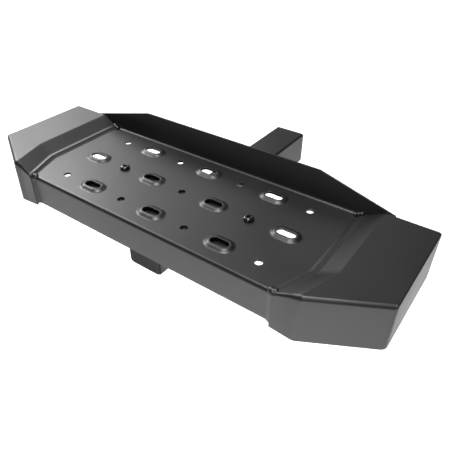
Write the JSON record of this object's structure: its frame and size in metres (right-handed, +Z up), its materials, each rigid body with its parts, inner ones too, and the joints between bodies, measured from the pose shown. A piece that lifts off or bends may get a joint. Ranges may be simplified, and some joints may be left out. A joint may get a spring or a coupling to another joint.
{
  "type": "tailgate step",
  "caption": "Wide folded-steel step with raised traction slots and hollow end caps, bolted to a bracket on a square shank that slides into a vehicle's receiver hitch.",
  "frame": {"origin": "centre of the hitch-pin hole, on the shank's axis", "axes": "+X to the right along the step's width and along the pin hole, +Y towards the vehicle, +Z up"},
  "size_m": [0.593, 0.375, 0.1109],
  "materials": {
    "powder_coat": "satin black powder coat with a fine texture",
    "black_oxide": "black oxide steel, slightly glossy",
    "zinc_plate": "bright zinc plate",
    "black_plastic": "moulded black plastic"
  },
  "bodies": {
    "root": {"bracket_weld_front": "powder_coat", "bracket_weld_rear": "powder_coat", "cross_bracket": "powder_coat", "deck_bolt_left": "black_oxide", "deck_bolt_right": "black_oxide", "deck_tray": "powder_coat", "flat_washer_left": "zinc_plate", "flat_washer_right": "zinc_plate", "gusset_front_left": "powder_coat", "gusset_front_right": "powder_coat", "gusset_rear_left": "powder_coat", "gusset_rear_right": "powder_coat", "gusset_weld_front_left": "powder_coat", "gusset_weld_front_right": "powder_coat", "gusset_weld_rear_left": "powder_coat", "gusset_weld_rear_right": "powder_coat", "hex_nut_left": "zinc_plate", "hex_nut_right": "zinc_plate", "hitch_tube": "powder_coat", "left_cap_weld": "powder_coat", "left_end_cap": "powder_coat", "lock_washer_left": "zinc_plate", "lock_washer_right": "zinc_plate", "right_cap_weld": "powder_coat", "right_end_cap": "powder_coat", "tube_front_plug": "black_plastic"}
  },
  "joints": []
}
